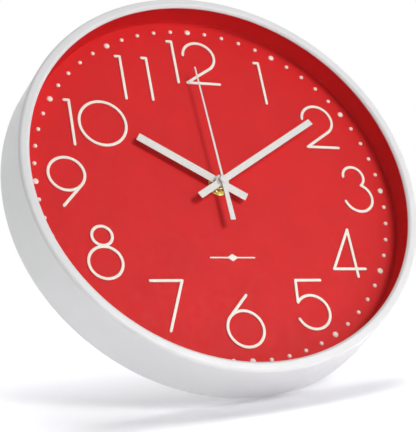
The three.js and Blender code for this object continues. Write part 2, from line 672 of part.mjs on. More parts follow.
/** Two square flanges on a square barrel, with a slot for the core. */
function coilBobbin() {
  const { x0, x1, flange, barrel, flangeWidth } = COIL;
  return cut(joined(
    aroundCoil(x0, x0 + flangeWidth, flange, flange),
    aroundCoil(x1 - flangeWidth, x1, flange, flange),
    aroundCoil(x0, x1, barrel, barrel),
  ), aroundCoil(x0 - 1, x1 + 1, 0.5, CORE.halfZ + 0.1));
}

/** The wire, as one solid that fills the bobbin between its flanges. */
function coilWinding() {
  const { x0, x1, flangeWidth, winding, barrel } = COIL;
  const [start, end] = [x0 + flangeWidth + 0.05, x1 - flangeWidth - 0.05];
  const inside = barrel + 0.05;
  const filling = solid(aroundCoil(start, end, winding, winding));
  return cut(filling, aroundCoil(start - 1, end + 1, inside, inside));
}

add("stator_plate", statorPlate(), siliconIron);
add("coil_core", coilCore, siliconIron);
add("coil_bobbin", coilBobbin(), palePlastic);
add("coil_winding", coilWinding(), copper);

const BOARD_REAR = -13.9;
const crystal = new THREE.CylinderGeometry(1, 1, 6, PIVOT_STEPS).rotateX(Math.PI / 2);
add("circuit_board", block([-26.4, BOARD_REAR - 0.8, -10], [-9.6, BOARD_REAR, 26]), greenBoard);
add("quartz_crystal", crystal.translate(-22, BOARD_REAR + 1.1, 15), steel);
add("control_chip", turned([
  [0, BOARD_REAR + 0.05], [3.2, BOARD_REAR + 0.05], [2.6, BOARD_REAR + 0.7], [0, BOARD_REAR + 1],
], SMALL_STEPS).translate(-15.5, 0, 14), blackEpoxy);

const CELL = { y: -7.75, z: -19.6, radius: 7.1, negative: -24, shoulder: 25, nub: 26.3, nubRadius: 2.7 };

/** An AA cell lying along x in its bay, positive end to the right. */
function batteryCell() {
  const profile = [
    [0, CELL.negative],
    [CELL.radius - 0.6, CELL.negative],
    [CELL.radius, CELL.negative + 0.6],
    [CELL.radius, CELL.shoulder - 0.6],
    [CELL.radius - 0.6, CELL.shoulder],
    [CELL.nubRadius, CELL.shoulder],
    [CELL.nubRadius, CELL.nub],
    [0, CELL.nub],
  ];
  return turned(profile, BOWL_STEPS).rotateZ(-Math.PI / 2).translate(0, CELL.y, CELL.z);
}

/** The coil spring of the negative contact: a conical helix that widens towards the wall of the bay. */
function contactSpring() {
  const turns = 2.5;
  const [wire, base, top] = [0.35, 4.2, 2.6];
  const gap = 0.05;
  const wallSide = wire + gap - (BOX.half - BOX.wall);
  const length = CELL.negative - wire - 2 * gap - wallSide;
  class Helix extends THREE.Curve {
    getPoint(t) {
      const angle = 2 * Math.PI * turns * t;
      const radius = base + (top - base) * t;
      const [y, z] = [CELL.y + radius * Math.cos(angle), CELL.z + radius * Math.sin(angle)];
      return new THREE.Vector3(wallSide + length * t, y, z);
    }
  }
  const section = outline(circlePoints(wire, 6));
  return new THREE.ExtrudeGeometry(section, { steps: 26, extrudePath: new Helix() });
}

add("battery_cell", batteryCell(), batteryWrap);
add("positive_contact", block([26.4, -13, -24], [26.8, -5.2, -15.2]), steel);
add("negative_spring", contactSpring(), steel);

const wallClock = new THREE.Group();
wallClock.name = "wall_clock";
wallClock.add(clock);

export default wallClock;
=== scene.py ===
"""Looks of a round wall clock: white case, red dial, raised numerals, three hands, quartz movement."""
import json
import math

import bmesh
import bpy
from mathutils import Matrix, Vector


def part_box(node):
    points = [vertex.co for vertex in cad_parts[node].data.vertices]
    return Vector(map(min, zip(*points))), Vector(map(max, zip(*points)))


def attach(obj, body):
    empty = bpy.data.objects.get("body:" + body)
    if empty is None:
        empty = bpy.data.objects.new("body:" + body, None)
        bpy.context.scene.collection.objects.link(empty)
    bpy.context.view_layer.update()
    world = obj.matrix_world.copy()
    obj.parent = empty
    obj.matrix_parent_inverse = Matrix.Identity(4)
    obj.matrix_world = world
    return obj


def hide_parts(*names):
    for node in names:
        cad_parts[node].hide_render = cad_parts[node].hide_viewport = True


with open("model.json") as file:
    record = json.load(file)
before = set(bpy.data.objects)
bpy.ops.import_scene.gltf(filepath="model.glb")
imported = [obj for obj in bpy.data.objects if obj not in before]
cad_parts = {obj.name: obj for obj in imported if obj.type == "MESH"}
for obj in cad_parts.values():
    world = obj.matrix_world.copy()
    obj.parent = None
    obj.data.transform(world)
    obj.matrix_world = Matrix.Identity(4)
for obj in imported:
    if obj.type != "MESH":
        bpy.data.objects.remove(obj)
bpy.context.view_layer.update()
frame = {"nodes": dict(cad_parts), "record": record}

# ---------------------------------------------------------------- the drawing frame

# Shapes are drawn in millimetres round the hand arbor: x right, y from the wall (0) towards the
# reader (negative), z up. The frame says where the arbor is, and how deep each piece lies.
MM = 0.001
case_lo, case_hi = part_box("case_ring")
ARBOR = Vector(((case_lo.x + case_hi.x) / 2, 0, (case_lo.z + case_hi.z) / 2))


def front(node):
    """The depth of a node's front, in millimetres."""
    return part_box(node)[0].y / MM


def rear(node):
    """The depth of a node's back, in millimetres."""
    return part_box(node)[1].y / MM


def span(node):
    """A node's lowest and highest x and z round the arbor, in millimetres."""
    low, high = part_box(node)
    return [(v / MM) for v in (low.x - ARBOR.x, high.x - ARBOR.x, low.z - ARBOR.z, high.z - ARBOR.z)]


def middle(node):
    """A node's middle in the front view, as x and z round the arbor, in millimetres."""
    x0, x1, z0, z1 = span(node)
    return (x0 + x1) / 2, (z0 + z1) / 2


REAR_RADIUS = span("case_ring")[1]
CASE_FRONT = front("case_ring")
LENS_FRONT, LENS_REAR = front("front_lens"), rear("front_lens")
LENS_RADIUS = span("front_lens")[1]
DIAL_FRONT, DIAL_REAR = front("dial_plate"), rear("dial_plate")
DIAL_RADIUS = span("dial_plate")[1] - 0.2
WALL_OUTER = span("spacer_ring")[1] - 0.1
LIP_RADIUS = 139.5

# How many steps a circle has, by the size of the piece, and how many an edge's rounding has.
LARGE_STEPS = 192
FINE_STEPS = 96
PLAIN_STEPS = 64
SMALL_STEPS = 48
TINY_STEPS = 24
ARC_STEPS = 5

# ---------------------------------------------------------------- outlines


def circle(radius, steps=SMALL_STEPS, x=0.0, z=0.0):
    """Points round a circle, anticlockwise."""
    turns = [2 * math.pi * i / steps for i in range(steps)]
    return [(x + radius * math.cos(a), z + radius * math.sin(a)) for a in turns]


def rounded(corners, steps=ARC_STEPS):
    """A closed outline from (x, y, fillet radius) corners, each rounded by an arc."""
    points = []
    count = len(corners)
    for i, (x, y, radius) in enumerate(corners):
        corner = Vector((x, y))
        if radius == 0:
            points.append((x, y))
            continue
        before = (Vector(corners[i - 1][:2]) - corner).normalized()
        after = (Vector(corners[(i + 1) % count][:2]) - corner).normalized()
        half = before.angle(after) / 2
        centre = corner + (before + after).normalized() * radius / math.sin(half)
        reach = radius / math.tan(half)
        start = corner + before * reach - centre
        end = corner + after * reach - centre
        first = math.atan2(start.y, start.x)
        sweep = (math.atan2(end.y, end.x) - first + math.pi) % (2 * math.pi) - math.pi
        for k in range(steps + 1):
            angle = first + sweep * k / steps
            points.append((centre.x + radius * math.cos(angle), centre.y + radius * math.sin(angle)))
    return points


def rectangle(x0, z0, x1, z1, radius=0.0):
    """A rectangle with rounded corners, anticlockwise."""
    return rounded([(x0, z0, radius), (x1, z0, radius), (x1, z1, radius), (x0, z1, radius)])


def inset(loop, distance):
    """An anticlockwise outline moved inwards by a distance, with mitred corners."""
    points = []
    count = len(loop)
    for i in range(count):
        here = Vector(loop[i])
        ahead = (Vector(loop[(i + 1) % count]) - here).normalized()
        behind = (here - Vector(loop[i - 1])).normalized()
        normal_ahead = Vector((-ahead.y, ahead.x))
        normal_behind = Vector((-behind.y, behind.x))
        mitre = (normal_ahead + normal_behind).normalized()
        points.append(here + mitre * distance / max(0.4, mitre.dot(normal_ahead)))
    return [tuple(point) for point in points]


# ---------------------------------------------------------------- solids as bmesh


def turned(profile, steps=SMALL_STEPS, x=0.0, z=0.0):
    """A solid of revolution about the line (x, z), from (radius, y) points.

    The profile closes on itself, or starts and ends on the axis."""
    mesh = bmesh.new()
    rings = []
    for radius, y in profile:
        if radius < 1e-6:
            rings.append([mesh.verts.new((x, y, z))] * steps)
        else:
            rings.append([mesh.verts.new((px, y, pz)) for px, pz in circle(radius, steps, x, z)])
    last = len(rings) if profile[0][0] > 1e-6 else len(rings) - 1
    for i in range(last):
        ring, following = rings[i], rings[(i + 1) % len(rings)]
        for k in range(steps):
            n = (k + 1) % steps
            corners = dict.fromkeys((ring[k], ring[n], following[n], following[k]))
            mesh.faces.new(corners)
    return mesh


def prism(outline, rear_y, front_y, edge=0.15, holes=(), edge_steps=2):
    """A plate of an anticlockwise outline with rounded edges, and holes with rounded edges."""
    turns = [math.pi / 2 * i / edge_steps for i in range(edge_steps + 1)]
    levels = [(edge * (1 - math.sin(a)), front_y + edge * (1 - math.cos(a))) for a in turns]
    levels += [(into, rear_y - (y - front_y)) for into, y in reversed(levels)]
    mesh = bmesh.new()
    caps = ([], [])
    for loop, way in [(outline, 1), *[(hole, -1) for hole in holes]]:
        rings = [[mesh.verts.new((px, y, pz)) for px, pz in inset(loop, way * into)] for into, y in levels]
        count = len(loop)
        for ring, following in zip(rings, rings[1:]):
            for k in range(count):
                n = (k + 1) % count
                mesh.faces.new((ring[k], ring[n], following[n], following[k]))
        for cap, ring in zip(caps, (rings[0], rings[-1])):
            cap.extend(mesh.edges.get((ring[k], ring[(k + 1) % count])) for k in range(count))
    for cap in caps:
        bmesh.ops.triangle_fill(mesh, use_beauty=True, edges=cap)
    return mesh


def stroke(points, width, rear_y, front_y, edge):
    """A raised stroke with round ends and rounded edges along a smooth line of (x, z) points."""
    half = width / 2
    line = [Vector(point) for point in points]
    last = len(line) - 1
    heading = []
    for i in range(len(line)):
        ahead = line[min(i + 1, last)] - line[max(i - 1, 0)]
        heading.append(math.atan2(ahead.y, ahead.x))

    def beside(i, turn):
        angle = heading[i] + turn
        return (line[i].x + half * math.cos(angle), line[i].y + half * math.sin(angle))

    quarter = math.pi / 2
    ends = [quarter * k / 4 for k in range(-3, 4)]
    loop = [beside(i, -quarter) for i in range(len(line))]
    loop += [beside(last, turn) for turn in ends]
    loop += [beside(i, quarter) for i in reversed(range(len(line)))]
    loop += [beside(0, math.pi + turn) for turn in ends]
    return prism(loop, rear_y, front_y, edge, edge_steps=3)


def block(low, high, edge=0.15):
    """A box with rounded edges along y, between two corners."""
    (x0, y0, z0), (x1, y1, z1) = low, high
    return prism(rectangle(x0, z0, x1, z1, edge), y1, y0, edge)


def merged(*meshes):
    """Several bmeshes as one."""
    whole = bmesh.new()
    for mesh in meshes:
        part = bpy.data.meshes.new("part")
        mesh.to_mesh(part)
        mesh.free()
        whole.from_mesh(part)
        bpy.data.meshes.remove(part)
    return whole


def moved(mesh, matrix):
    """A bmesh after a transform."""
    bmesh.ops.transform(mesh, matrix=matrix, verts=mesh.verts)
    return mesh


def combined(operation, *meshes):
    """The boolean union, difference or intersection of closed bmeshes."""
    objects = []
    for mesh in meshes:
        bmesh.ops.recalc_face_normals(mesh, faces=mesh.faces)
        data = bpy.data.meshes.new("operand")
        mesh.to_mesh(data)
        mesh.free()
        operand = bpy.data.objects.new("operand", data)
        bpy.context.scene.collection.objects.link(operand)
        objects.append(operand)
    for other in objects[1:]:
        step = objects[0].modifiers.new("join", "BOOLEAN")
        step.operation = operation
        step.solver = "EXACT"
        step.object = other
    graph = bpy.context.evaluated_depsgraph_get()
    result = bmesh.new()
    result.from_mesh(objects[0].evaluated_get(graph).to_mesh())
    for operand in objects:
        data = operand.data
        bpy.data.objects.remove(operand)
        bpy.data.meshes.remove(data)
    return result


# ---------------------------------------------------------------- materials


class Surface:
    """A procedural material: mottled colour, uneven gloss and a fine relief."""

    def __init__(self, name, **fixed):
        self.material = bpy.data.materials.new(name)
        self.material.use_nodes = True
        self.nodes = self.material.node_tree.nodes
        self.links = self.material.node_tree.links
        self.shader = self.nodes["Principled BSDF"]
        for socket, value in fixed.items():
            self.shader.inputs[socket.replace("_", " ")].default_value = value
        place = self.nodes.new("ShaderNodeTexCoord")
        self.place = self.nodes.new("ShaderNodeMapping")
        self.place.inputs["Location"].default_value = -ARBOR
        self.links.new(place.outputs["Object"], self.place.inputs["Vector"])

    def noise(self, size_mm, detail=3.0, stretch=None):
        """Noise with cells of about this size, drawn out along an axis by a stretch vector."""
        texture = self.nodes.new("ShaderNodeTexNoise")
        texture.inputs["Scale"].default_value = 1 / (size_mm * MM)
        texture.inputs["Detail"].default_value = detail
        vector = self.place.outputs["Vector"]
        if stretch:
            scaled = self.nodes.new("ShaderNodeMapping")
            scaled.inputs["Scale"].default_value = stretch
            self.links.new(vector, scaled.inputs["Vector"])
            vector = scaled.outputs["Vector"]
        self.links.new(vector, texture.inputs["Vector"])
        return texture.outputs["Fac"]

    def rings(self, size_mm):
        """Fine turning marks round the arbor."""
        texture = self.nodes.new("ShaderNodeTexWave")
        texture.wave_type = "RINGS"
        texture.rings_direction = "Y"
        texture.inputs["Scale"].default_value = 0.3 / (size_mm * MM)
        texture.inputs["Distortion"].default_value = 2.0
        self.links.new(self.place.outputs["Vector"], texture.inputs["Vector"])
        return texture.outputs["Fac"]

    def colours(self, factor, *stops):
        """Base colour from a factor through (position, rgb) stops."""
        ramp = self.nodes.new("ShaderNodeValToRGB")
        elements = ramp.color_ramp.elements
        while len(elements) < len(stops):
            elements.new(0.5)
        for element, (position, colour) in zip(elements, stops):
            element.position = position
            element.color = (*colour, 1)
        self.links.new(factor, ramp.inputs["Fac"])
        self.links.new(ramp.outputs["Color"], self.shader.inputs["Base Color"])
        return ramp

    def gloss(self, factor, low, high):
        """Roughness from a factor, between two values."""
        spread = self.nodes.new("ShaderNodeMapRange")
        spread.inputs["From Min"].default_value = 0.3
        spread.inputs["From Max"].default_value = 0.7
        spread.inputs["To Min"].default_value = low
        spread.inputs["To Max"].default_value = high
        self.links.new(factor, spread.inputs["Value"])
        self.links.new(spread.outputs["Result"], self.shader.inputs["Roughness"])

    def waviness(self):
        """The slow unevenness of a large moulded face."""
        self.relief(self.noise(14, 2), 0.04, 0.3)

    def relief(self, factor, depth_mm, strength=0.5):
        """Bump from a factor, laid over any relief already there."""
        bump = self.nodes.new("ShaderNodeBump")
        bump.inputs["Strength"].default_value = strength
        bump.inputs["Distance"].default_value = depth_mm * MM
        self.links.new(factor, bump.inputs["Height"])
        normal = self.shader.inputs["Normal"]
        if normal.is_linked:
            self.links.new(normal.links[0].from_socket, bump.inputs["Normal"])
        self.links.new(bump.outputs["Normal"], normal)


def shade(colour, share):
    """A colour made darker or lighter by a share of itself."""
    return tuple(min(1.0, c * (1 + share)) for c in colour)


def moulded(name, colour, roughness, mottle=0.03, grain_mm=0.35, grain_depth=0.02, **fixed):
    """Moulded plastic: faint flow tones, an eroded mould texture and uneven gloss."""
    surface = Surface(name, **fixed)
    tone = surface.noise(28, 4)
    surface.colours(tone, (0.35, shade(colour, -mottle)), (0.65, shade(colour, mottle)))
    surface.gloss(surface.noise(6, 5), roughness - 0.05, roughness + 0.07)
    surface.relief(surface.noise(grain_mm, 2), grain_depth)
    surface.waviness()
    return surface.material


def metal(name, colour, roughness, stretch=(1, 1, 8), grain_mm=0.4, **fixed):
    """Sheet or turned metal with drawn-out scratches and stains."""
    surface = Surface(name, Metallic=1.0, **fixed)
    stain = surface.noise(5, 5)
    surface.colours(stain, (0.3, shade(colour, -0.18)), (0.7, shade(colour, 0.08)))
    scratches = surface.noise(grain_mm, 3, stretch)
    surface.gloss(scratches, roughness - 0.08, roughness + 0.14)
    surface.relief(scratches, 0.01, 0.5)
    return surface.material


def turned_metal(name, colour, roughness):
    """Turned metal with fine rings round the arbor."""
    surface = Surface(name, Metallic=1.0)
    surface.colours(surface.noise(2.5, 4), (0.3, shade(colour, -0.15)), (0.7, shade(colour, 0.1)))
    rings = surface.rings(0.5)
    surface.gloss(rings, roughness - 0.05, roughness + 0.1)
    surface.relief(rings, 0.02, 0.4)
    return surface.material


def painted_dial():
    """Matt red paint over a white moulding, whose back is left bare."""
    red, bare = (0.68, 0.0105, 0.012), (0.58, 0.58, 0.565)
    surface = Surface("dial_red", Specular_IOR_Level=0.24)
    tone = surface.noise(28, 4)
    painted = surface.colours(tone, (0.35, shade(red, -0.035)), (0.65, shade(red, 0.035)))
    unpainted = surface.colours(tone, (0.35, shade(bare, -0.03)), (0.65, shade(bare, 0.03)))
    split = surface.nodes.new("ShaderNodeSeparateXYZ")
    surface.links.new(surface.place.outputs["Vector"], split.inputs["Vector"])
    edge = surface.nodes.new("ShaderNodeMapRange")
    edge.inputs["From Min"].default_value = (DIAL_REAR - 0.5) * MM
    edge.inputs["From Max"].default_value = (DIAL_REAR - 0.2) * MM
    surface.links.new(split.outputs["Y"], edge.inputs["Value"])
    both = surface.nodes.new("ShaderNodeMix")
    both.data_type = "RGBA"
    surface.links.new(edge.outputs["Result"], both.inputs["Factor"])
    surface.links.new(painted.outputs["Color"], both.inputs["A"])
    surface.links.new(unpainted.outputs["Color"], both.inputs["B"])
    surface.links.new(both.outputs["Result"], surface.shader.inputs["Base Color"])
    surface.gloss(surface.noise(6, 5), 0.5, 0.62)
    surface.relief(surface.noise(0.6, 2), 0.05)
    surface.waviness()
    return surface.material


def painted_hand():
    """Off-white paint on stamped aluminium, with a slight orange peel."""
    colour = (0.77, 0.775, 0.73)
    surface = Surface("hand_white", Metallic=0.0, Coat_Weight=0.15, Coat_Roughness=0.3)
    surface.colours(surface.noise(3, 5), (0.3, shade(colour, -0.04)), (0.7, shade(colour, 0.03)))
    surface.gloss(surface.noise(1.5, 4), 0.34, 0.5)
    surface.relief(surface.noise(0.5, 2), 0.015, 0.5)
    return surface.material


def clear_pane():
    """A clear pane that shows little but its gloss, and that only at a slant."""
    surface = Surface("lens_clear", Base_Color=(0.1, 0.11, 0.11, 1), IOR=1.46)
    surface.gloss(surface.noise(30, 4), 0.02, 0.05)
    slant = surface.nodes.new("ShaderNodeLayerWeight")
    alpha = surface.nodes.new("ShaderNodeMapRange")
    alpha.inputs["From Min"].default_value = 0.3
    alpha.inputs["To Min"].default_value = 0.012
    alpha.inputs["To Max"].default_value = 0.35
    surface.links.new(slant.outputs["Facing"], alpha.inputs["Value"])
    surface.links.new(alpha.outputs["Result"], surface.shader.inputs["Alpha"])
    return surface.material


def battery_sleeve():
    """A plain grey sleeve round the cell, then one pale ring and a dark positive end."""
    surface = Surface("battery_wrap", Metallic=0.3, Coat_Weight=0.6, Coat_Roughness=0.12)
    split = surface.nodes.new("ShaderNodeSeparateXYZ")
    surface.links.new(surface.place.outputs["Vector"], split.inputs["Vector"])
    along = surface.nodes.new("ShaderNodeMapRange")
    x0, x1, _, _ = span("battery_cell")
    along.inputs["From Min"].default_value = x0 * MM
    along.inputs["From Max"].default_value = x1 * MM
    surface.links.new(split.outputs["X"], along.inputs["Value"])
    grey, pale, slate = (0.28, 0.3, 0.32), (0.7, 0.72, 0.7), (0.06, 0.1, 0.09)
    ramp = surface.colours(along.outputs["Result"], (0, grey), (0.74, pale), (0.77, slate), (1, slate))
    ramp.color_ramp.interpolation = "CONSTANT"
    surface.gloss(surface.noise(3, 4), 0.25, 0.38)
    surface.relief(surface.noise(8, 3), 0.05, 0.3)
    return surface.material


def circuit_green():
    """Green solder resist over a lattice of buried tracks."""
    surface = Surface("board_green", Coat_Weight=0.4, Coat_Roughness=0.2)
    tracks = surface.nodes.new("ShaderNodeTexBrick")
    tracks.inputs["Scale"].default_value = 1 / (12 * MM)
    tracks.inputs["Mortar Size"].default_value = 0.05
    tracks.inputs["Mortar Smooth"].default_value = 0.4
    turn = surface.nodes.new("ShaderNodeMapping")
    turn.inputs["Rotation"].default_value = (math.pi / 2, 0, 0)
    surface.links.new(surface.place.outputs["Vector"], turn.inputs["Vector"])
    surface.links.new(turn.outputs["Vector"], tracks.inputs["Vector"])
    surface.colours(tracks.outputs["Fac"], (0.2, (0.015, 0.12, 0.045)), (0.8, (0.05, 0.26, 0.09)))
    surface.gloss(surface.noise(2, 3), 0.3, 0.45)
    surface.relief(tracks.outputs["Fac"], 0.03, 0.6)
    return surface.material


def wound_copper():
    """Enamelled wire, as fine ridges across the coil, with painted shade in the grooves between the turns.
    """
    surface = Surface("winding_copper", Metallic=0.9, Coat_Weight=0.5)
    wires = surface.nodes.new("ShaderNodeTexWave")
    wires.inputs["Scale"].default_value = 0.3 / (0.35 * MM)
    wires.inputs["Distortion"].default_value = 0.4
    surface.links.new(surface.place.outputs["Vector"], wires.inputs["Vector"])
    # Copper on the crests, and painted shade darker down in the grooves between turns, keyed to the ridges.
    surface.colours(wires.outputs["Fac"], (0.1, (0.2, 0.06, 0.02)), (0.7, (0.62, 0.25, 0.1)))
    surface.gloss(surface.noise(1, 3), 0.28, 0.4)
    surface.relief(wires.outputs["Fac"], 0.1, 0.8)
    return surface.material


MATERIALS = {
    "case_white": moulded("case_white", (0.71, 0.71, 0.705), 0.36, 0.012, 0.5, 0.012),
    "lens_clear": clear_pane(),
    "dial_red": painted_dial(),
    "numeral_cream": moulded("numeral_cream", (0.93, 0.915, 0.8), 0.42, 0.02, 0.3, 0.01),
    "hand_white": painted_hand(),
    "gear_white": moulded("gear_white", (0.76, 0.74, 0.67), 0.4, 0.04, 0.25, 0.01, Subsurface_Weight=0.1),
    "magnet_grey": metal("magnet_grey", (0.17, 0.17, 0.18), 0.5, (1, 1, 1)),
    "movement_black": moulded("movement_black", (0.022, 0.022, 0.024), 0.5, 0.15, 0.3, 0.06),
    "bush_brass": turned_metal("bush_brass", (0.85, 0.82, 0.37), 0.25),
    "gasket_rubber": moulded("gasket_rubber", (0.025, 0.025, 0.026), 0.8, 0.2, 0.2, 0.04),
    "hanger_steel": metal("hanger_steel", (0.56, 0.57, 0.6), 0.34),
    "screw_steel": metal("screw_steel", (0.6, 0.61, 0.64), 0.3, (1, 1, 1), 0.3),
    "core_iron": metal("core_iron", (0.32, 0.33, 0.35), 0.42, (6, 1, 1)),
    "winding_copper": wound_copper(),
    "board_green": circuit_green(),
    "chip_black": moulded("chip_black", (0.012, 0.012, 0.013), 0.25, 0.2, 0.2, 0.01),
    "battery_wrap": battery_sleeve(),
    "contact_steel": metal("contact_steel", (0.68, 0.68, 0.66), 0.2, (1, 6, 1), 0.3),
}


def piece(name, mesh, slot, body, replaced=(), smooth=40):
    """Adds a finished piece of the clock from a bmesh in millimetres round the arbor."""
    bmesh.ops.remove_doubles(mesh, verts=mesh.verts, dist=1e-4)
    bmesh.ops.recalc_face_normals(mesh, faces=mesh.faces)
    mesh.transform(Matrix.Translation(ARBOR) @ Matrix.Scale(MM, 4))
    data = bpy.data.meshes.new(name)
    mesh.to_mesh(data)
    mesh.free()
    data.shade_smooth()
    data.set_sharp_from_angle(angle=math.radians(smooth))
    data.materials.append(MATERIALS[slot])
    made = bpy.data.objects.new(name, data)
    bpy.context.scene.collection.objects.link(made)
    made.modifiers.new("even_normals", "WEIGHTED_NORMAL").keep_sharp = True
    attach(made, body)
    if replaced:
        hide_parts(*replaced)


for subpart in frame["record"]["subparts"]:
    node_data = frame["nodes"][subpart["node"]].data
    node_data.materials.clear()
    node_data.materials.append(MATERIALS[subpart["material_slot"]])

# ---------------------------------------------------------------- case, lens and dial

SCREWS = [f"dial_screw_{number}" for number in range(1, 7)]


def case_shell():
    """The case: one turned wall with a rounded rim, a lens seat, a bead inside and screw bosses."""
    pocket = LENS_RADIUS + 0.5
    seat_front = LENS_FRONT - 0.1
    seat_rear = LENS_REAR + 1.1
    profile = rounded([
        (LIP_RADIUS, CASE_FRONT + 1.5, 0.7),
        (LIP_RADIUS + 1.5, CASE_FRONT, 1.6),
        (REAR_RADIUS - 3.2, CASE_FRONT, 2.4),
        (REAR_RADIUS, 0, 0.6),
        (REAR_RADIUS - 2, 0, 0.5),
        (REAR_RADIUS - 2.15, -2.2, 0.3),
        (REAR_RADIUS - 2.6, -2.9, 0.4),
        (REAR_RADIUS - 2.35, -3.8, 0.3),
        (REAR_RADIUS - 4.6, LENS_REAR + 2.7, 1.2),
        (pocket, seat_rear, 0),
        (pocket, seat_front, 0),
        (LIP_RADIUS, seat_front, 0.3),
    ])
    foot, tip = seat_rear - 0.3, DIAL_FRONT - 0.2
    hole_end = foot + 6
    boss = [
        (0, foot), (2.2, foot), (2.0, tip + 0.2), (1.8, tip),
        (0.9, tip), (0.8, hole_end), (0, hole_end),
    ]
    bosses = []
    for screw in SCREWS:
        x, z = middle(screw)
        bosses.append(turned(boss, TINY_STEPS, x, z))
        rib = block((-0.5, foot, 0.5), (0.5, tip - 1.5, 2.4), 0.1)
        outwards = Matrix.Rotation(math.atan2(x, z), 4, "Y")
        bosses.append(moved(rib, Matrix.Translation((x, 0, z)) @ outwards))
    return combined("UNION", turned(profile, LARGE_STEPS), *bosses)


def dial_disc():
    """The dial, with rounded edges, and moulded rings and spokes on its back."""
    hole = 4.3
    rings = (132, 100, 68, 36)
    crest = DIAL_REAR + 0.6
    ribs = []
    for radius in rings:
        ribs += [(radius + 1.3, DIAL_REAR, 0), (radius + 0.8, crest, 0.2)]
        ribs += [(radius - 0.8, crest, 0.2), (radius - 1.3, DIAL_REAR, 0)]
    profile = rounded([
        (hole, DIAL_FRONT, 0.2),
        (DIAL_RADIUS, DIAL_FRONT, 0.3),
        (DIAL_RADIUS, DIAL_REAR, 0.3),
        *ribs,
        (hole, DIAL_REAR, 0.2),
    ], 3)
    spoke_plan = rectangle(-0.7, rings[-1], 0.7, rings[0], 0.2)
    spokes = []
    for hour in range(12):
        spoke = prism(spoke_plan, DIAL_REAR + 0.5, DIAL_REAR - 0.3, 0.15)
        spokes.append(moved(spoke, Matrix.Rotation(math.radians(30 * hour + 15), 4, "Y")))
    return combined("UNION", turned(profile, LARGE_STEPS), *spokes)


def dial_wall():
    """The red wall between dial and lens, drafted so that it starts clear of the rim's lip."""
    wall_front = front("spacer_ring")
    wall_rear = rear("spacer_ring")
    profile = rounded([
        (141.2, wall_front, 0.1),
        (WALL_OUTER, wall_front, 0.2),
        (WALL_OUTER, wall_rear, 0.1),
        (139.9, wall_rear, 0),
        (140.5, wall_rear - 1.6, 1.2),
    ])
    return turned(profile, LARGE_STEPS)


def lens_disc():
    """The clear pane, with ground edges."""
    bevel = 0.3
    return turned([
        (0, LENS_FRONT), (LENS_RADIUS - bevel, LENS_FRONT), (LENS_RADIUS, LENS_FRONT + bevel),
        (LENS_RADIUS, LENS_REAR - bevel), (LENS_RADIUS - bevel, LENS_REAR), (0, LENS_REAR),
    ], LARGE_STEPS)


def pan_screw(node):
    """A dial screw's pan head with a recess, on its shank."""
    x, z = middle(node)
    tip, head = front(node), rear(node)
    seat = head - 1.6
    profile = [
        (0, tip), (0.35, tip + 0.3), (0.9, tip + 1.4), (0.9, seat), (1.95, seat),
        (2.0, seat + 0.5), (1.8, seat + 1.1), (1.3, seat + 1.5), (0.85, seat + 1.6),
        (0.55, seat + 0.8), (0, seat + 0.7),
    ]
    return turned(profile, TINY_STEPS, x, z)


piece("case_shell", case_shell(), "case_white", "case", ["case_ring"])
piece("dial_disc", dial_disc(), "dial_red", "case", ["dial_plate"])
piece("dial_wall", dial_wall(), "dial_red", "case", ["spacer_ring"])
piece("lens_pane", lens_disc(), "lens_clear", "case", ["front_lens"])
for screw in SCREWS:
    piece(screw.replace("dial", "pan"), pan_screw(screw), "screw_steel", "case", [screw])

# ---------------------------------------------------------------- numerals and dots

NUMERAL_REAR = DIAL_FRONT
NUMERAL_FRONT = front("numeral_1")
STROKE = 2.15
STROKE_EDGE = 0.4
DOT_CIRCLE = 131.5
MINUTE_DOT = {"radius": 1.5, "height": 1.0}
HOUR_DOT = {"radius": 2.15, "height": 1.0}


def raised(*points):
    """A raised numeral stroke along a line of points."""
    return stroke(points, STROKE, NUMERAL_REAR, NUMERAL_FRONT, STROKE_EDGE)


def arc(x, z, radius, start, end):
    """Points along a clockwise arc between two angles in degrees."""
    count = max(6, round(abs(start - end) / 5))
    angles = [math.radians(start + (end - start) * i / count) for i in range(count + 1)]
    return [(x + radius * math.cos(a), z + radius * math.sin(a)) for a in angles]


def bowl(x, z, radius_x, radius_z):
    """A raised closed bowl of the stroke's width."""

    def oval(wider):
        return [(x + (radius_x + wider) * c, z + (radius_z + wider) * s) for c, s in circle(1, FINE_STEPS)]

    half = STROKE / 2
    return prism(oval(half), NUMERAL_REAR, NUMERAL_FRONT, STROKE_EDGE, [oval(-half)], 3)


def tangent_point(point, radius):
    """Where a straight stroke from a point meets a bowl round the origin as a tangent."""
    away = Vector(point)
    angle = math.atan2(away.y, away.x) + math.acos(radius / away.length)
    return radius * math.cos(angle), radius * math.sin(angle)


def one():
    """A straight stem with a short flag; like every digit, drawn about a point of its own."""
    return combined("UNION", raised((-3.4, 0), (0, 0)), raised((0, 0), (0, -35.7)))


def two():
    radius = 12.3
    corner = (-12.7, -23.3)
    joint = tangent_point(corner, radius)
    leaves = math.degrees(math.atan2(joint[1], joint[0]))
    swan = raised(*arc(0, 0, radius, 175, leaves), corner)
    return combined("UNION", swan, raised(corner, (12.8, corner[1])))


def three():
    return combined("UNION", raised(*arc(0, 17.2, 8.4, 177, -54.3)), raised(*arc(0, 0, 11.5, 64.8, -164)))


def four():
    apex, foot, corner, end = (0, 37.1), (0, 0), (-18, 5.9), (7.2, 5.9)
    return combined("UNION", raised(apex, foot), raised(apex, corner), raised(corner, end))


def five():
    corner, waist, end = (-8.5, 24.1), (-10.2, 7.5), (10.7, 24.1)
    belly = raised(*arc(0, 0, 12.6, 143.5, -157))
    return combined("UNION", raised(corner, end), raised(corner, waist), belly)


def six():
    radius = 13.1
    tip = (4.8, 24.4)
    return combined("UNION", bowl(0, 0, radius, radius), raised(tip, tangent_point(tip, radius)))


def seven():
    corner = (0, 0)
    return combined("UNION", raised((-22.6, 0), corner), raised(corner, (-14, -35.9)))


def eight():
    return combined("UNION", bowl(0.1, 19.6, 7.1, 7.1), bowl(0, 0, 11.7, 11.7))


